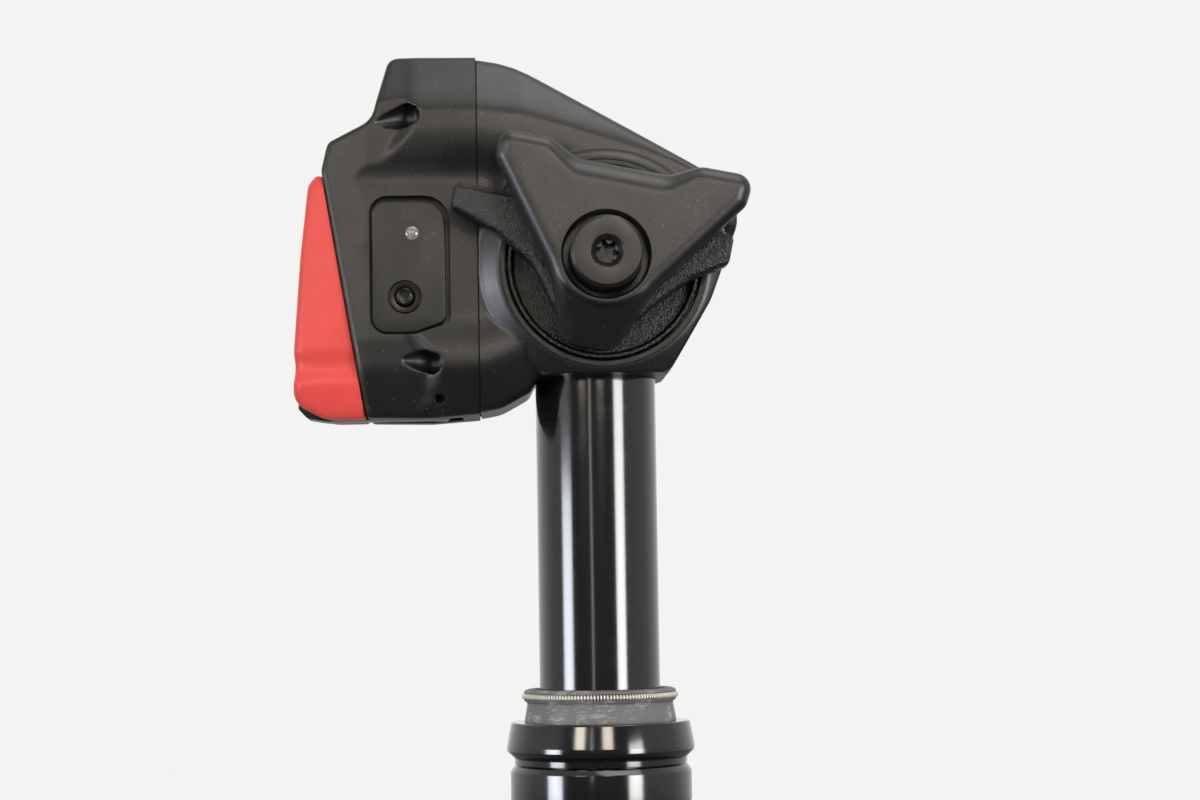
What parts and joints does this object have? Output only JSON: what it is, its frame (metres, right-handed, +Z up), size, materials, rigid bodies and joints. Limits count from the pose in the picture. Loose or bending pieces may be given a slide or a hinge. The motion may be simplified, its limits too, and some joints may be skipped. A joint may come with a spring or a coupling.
{
  "type": "dropper seatpost",
  "caption": "Telescoping bicycle seatpost with a side-bolted saddle rail clamp and an electric valve module with a removable battery behind the head.",
  "frame": {"origin": "centre of the lower tube's open end, where the post goes deepest into the bicycle", "axes": "+Z up along the post, +X forwards towards the handlebar, +Y to the rider's left; battery behind at -X, control panel and bolt head on the rider's right at -Y"},
  "size_m": [0.0807, 0.0624, 0.3768],
  "materials": {
    "black_anodised": "gloss, black anodised",
    "grey_rubber": "matt, light wear",
    "spring_steel": "bright",
    "black_rubber": "matt",
    "foam": "open cell foam",
    "bearing_polymer": "smooth",
    "clear_aluminium": "machined",
    "valve_brass": "machined",
    "cap_plastic": "matt",
    "satin_black_metal": "satin black, forged",
    "rough_black_metal": "blasted black",
    "module_black": "satin black",
    "panel_black": "satin black",
    "button_black": "gloss",
    "lamp_lens": "clear",
    "battery_red": "satin red",
    "battery_black": "matt",
    "gold": "plated",
    "cell_wrap": "shrink wrap",
    "black_oxide": "black oxide steel",
    "plain_steel": "ground",
    "board_green": "solder mask",
    "part_white": "moulded"
  },
  "bodies": {
    "lower_post": {"lower_tube": "black_anodised", "tube_collar": "black_anodised", "seal_cap": "black_anodised", "wiper_seal": "grey_rubber", "garter_spring": "spring_steel", "foam_ring": "foam", "upper_bushing": "bearing_polymer", "end_plug": "clear_aluminium", "plug_ring": "black_rubber", "circlip": "spring_steel", "inner_shaft": "clear_aluminium", "main_piston": "clear_aluminium", "piston_ring": "black_rubber", "piston_nut": "clear_aluminium", "top_out_bumper": "black_rubber", "bottom_out_bumper": "black_rubber", "air_valve": "valve_brass", "valve_core": "valve_brass", "valve_cap": "cap_plastic"},
    "upper_post": {"stanchion": "black_anodised", "guide_keys": "valve_brass", "glide_ring": "bearing_polymer", "seal_head": "clear_aluminium", "seal_head_rings": "black_rubber", "valve_body": "clear_aluminium", "valve_body_ring": "black_rubber", "head_casting": "satin_black_metal", "drum_bushes": "bearing_polymer", "module_housing": "module_black", "module_gasket": "black_rubber", "module_screws": "black_oxide", "control_panel": "panel_black", "button_ring": "panel_black", "led_lens": "lamp_lens", "circuit_board": "board_green", "tact_switch": "part_white", "status_led": "part_white", "contact_pins": "gold", "motor": "plain_steel", "gearbox": "plain_steel", "motor_bracket": "cap_plastic", "latch_pin": "black_oxide"},
    "valve_rod": {"valve_rod": "plain_steel"},
    "rail_clamp": {"cradle_left": "rough_black_metal", "cradle_right": "rough_black_metal", "clamp_sleeve": "plain_steel", "outer_plate_left": "satin_black_metal", "outer_plate_right": "satin_black_metal", "clamp_bolt": "black_oxide", "bolt_washer": "black_oxide", "barrel_nut": "black_oxide"},
    "battery": {"battery_case": "battery_red", "battery_lid": "battery_black", "battery_contacts": "gold", "battery_cells": "cell_wrap"},
    "battery_latch": {"battery_latch": "module_black"},
    "button": {"button_cap": "button_black"}
  },
  "joints": [
    {"name": "post_slide", "type": "slide", "parent": "lower_post", "child": "upper_post", "axis": [0, 0, 1], "range_m": [-0.05, 0], "stiffness_N_per_m": 2000, "springref_m": 0.05},
    {"name": "clamp_tilt", "type": "hinge", "parent": "upper_post", "child": "rail_clamp", "pos_m": [0.0013, 0, 0.3382], "axis": [0, 1, 0], "range_deg": [-25, 5]},
    {"name": "valve_open", "type": "slide", "parent": "upper_post", "child": "valve_rod", "axis": [1, 0, 0], "range_m": [0, 0.002], "stiffness_N_per_m": 1000, "springref_m": -0.003},
    {"name": "button_press", "type": "slide", "parent": "upper_post", "child": "button", "axis": [0, 1, 0], "range_m": [0, 0.0006], "stiffness_N_per_m": 400, "springref_m": -0.002},
    {"name": "battery_out", "type": "slide", "parent": "upper_post", "child": "battery", "axis": [-1, 0, 0], "range_m": [0, 0.02]},
    {"name": "latch_swing", "type": "hinge", "parent": "upper_post", "child": "battery_latch", "pos_m": [-0.0283, 0, 0.3143], "axis": [0, -1, 0], "range_deg": [0, 75.5], "stiffness_Nm_per_rad": 0.01, "springref_deg": -34.38}
  ],
  "couplings": [
    {"joint": "latch_swing", "follows": "battery_out", "rad_per_m": 65.45}
  ]
}
